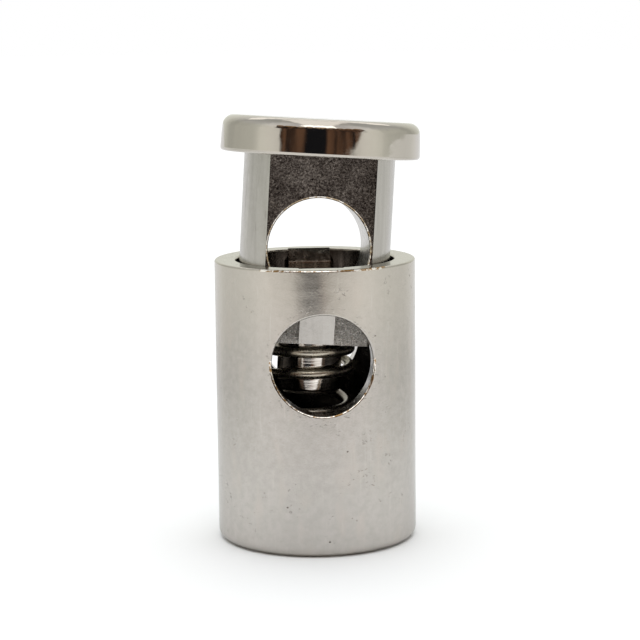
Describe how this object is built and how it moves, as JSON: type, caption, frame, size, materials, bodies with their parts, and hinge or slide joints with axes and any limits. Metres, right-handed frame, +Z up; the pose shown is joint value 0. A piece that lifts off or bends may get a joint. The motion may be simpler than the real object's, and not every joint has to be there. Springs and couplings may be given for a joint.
{
  "type": "cord lock",
  "caption": "Cylindrical metal cord lock: a spring-loaded plunger with a round cord eye slides in a barrel with a matching cross hole.",
  "frame": {"origin": "centre of the barrel's flat base", "axes": "+Z up the barrel to the plunger's cap; the cord holes run along Y, with the front hole on -Y"},
  "size_m": [0.0124, 0.0122, 0.0256],
  "materials": {
    "barrel_metal": "satin nickel plate on zinc",
    "plunger_metal": "bright nickel plate on zinc",
    "spring_wire": "bright drawn wire"
  },
  "bodies": {
    "barrel": {"barrel": "barrel_metal"},
    "spring_top": {"spring": "spring_wire"},
    "plunger": {"plunger": "plunger_metal"}
  },
  "joints": [
    {"name": "plunger_press", "type": "slide", "parent": "barrel", "child": "spring_top", "axis": [0, 0, -1], "range_m": [0, 0.0061], "stiffness_N_per_m": 2300, "springref_m": -0.0023, "deforming": ["spring"]},
    {"name": "plunger_rock", "type": "hinge", "parent": "spring_top", "child": "plunger", "pos_m": [0, 0, 0.0169], "axis": [0.5417, -0.8406, 0], "range_deg": [0, 4.5]}
  ],
  "couplings": [
    {"joint": "plunger_rock", "follows": "plunger_press", "rad_per_m": 12.87}
  ]
}
